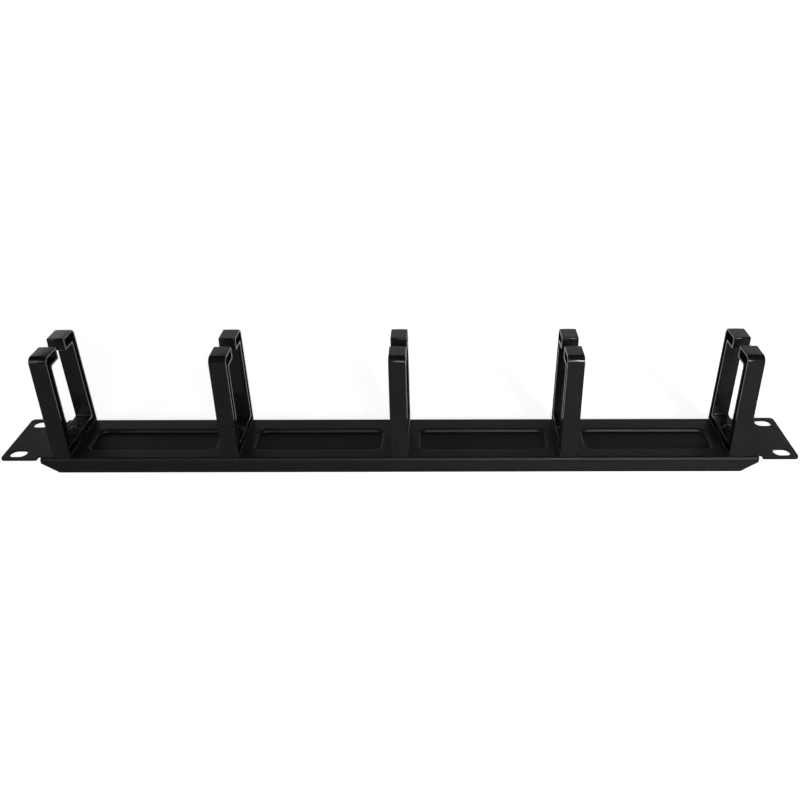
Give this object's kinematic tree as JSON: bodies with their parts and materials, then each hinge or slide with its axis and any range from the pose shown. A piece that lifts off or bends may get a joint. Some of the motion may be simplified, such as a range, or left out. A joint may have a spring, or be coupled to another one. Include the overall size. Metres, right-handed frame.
{
  "type": "horizontal cable manager",
  "caption": "Rack-width folded sheet-steel panel with pressed pockets, slotted ears and a row of open moulded D-rings that hold cables along its face.",
  "frame": {"origin": "middle of the footprint, on the plane of the two flange edges", "axes": "+X along the panel to its right end, +Y up the rack, +Z out of the front face along the rings"},
  "size_m": [0.4826, 0.0436, 0.0781],
  "materials": {
    "panel": "satin black powder coat",
    "ring": "satin black moulded plastic",
    "fastener": "black plated steel"
  },
  "bodies": {
    "root": {"panel": "panel", "ring_1": "ring", "ring_2": "ring", "ring_3": "ring", "ring_4": "ring", "ring_5": "ring", "screw_1": "fastener", "screw_2": "fastener", "screw_3": "fastener", "screw_4": "fastener", "screw_5": "fastener", "washer_1": "fastener", "washer_2": "fastener", "washer_3": "fastener", "washer_4": "fastener", "washer_5": "fastener", "nut_1": "fastener", "nut_2": "fastener", "nut_3": "fastener", "nut_4": "fastener", "nut_5": "fastener"}
  },
  "joints": []
}
